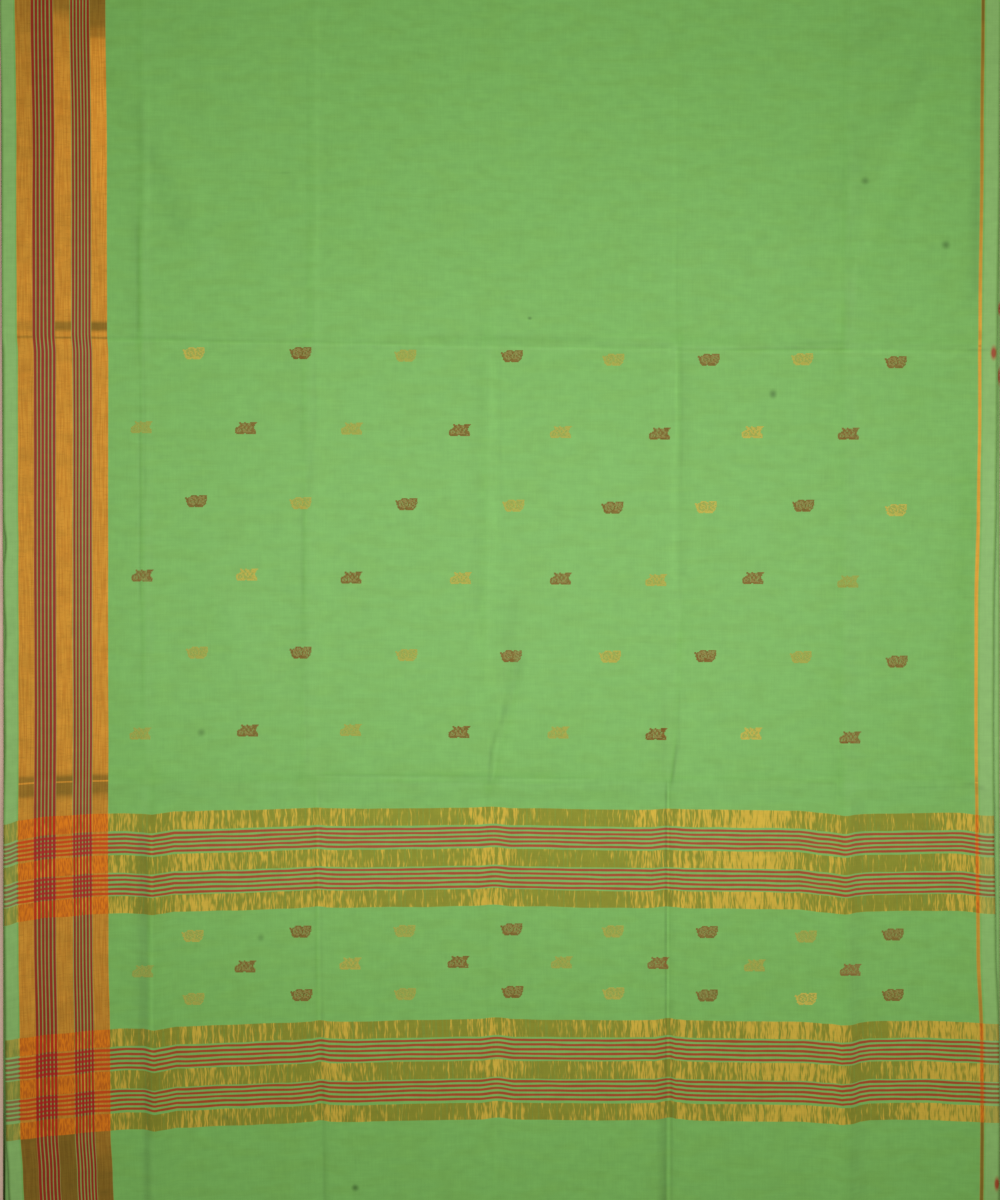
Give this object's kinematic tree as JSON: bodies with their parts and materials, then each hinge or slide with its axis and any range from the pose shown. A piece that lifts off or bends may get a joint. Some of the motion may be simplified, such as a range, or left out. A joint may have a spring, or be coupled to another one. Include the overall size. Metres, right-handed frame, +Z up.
{
  "type": "folded cotton sari",
  "caption": "Green handloom cotton sari at full width, folded back and forth along its length, face up, with a broad gold and maroon border and a banded pallu on top.",
  "frame": {"origin": "middle of the footprint of the folded cloth, on the surface it rests on", "axes": "+X across the cloth towards the narrow gold line, +Y along it away from the pallu end, +Z up out of the visible face"},
  "size_m": [1.1792, 1.5434, 0.0185],
  "materials": {
    "green_cotton": "matte plain-weave cotton with gold zari and maroon stripes"
  },
  "bodies": {
    "root": {"sari_cloth": "green_cotton"}
  },
  "joints": []
}
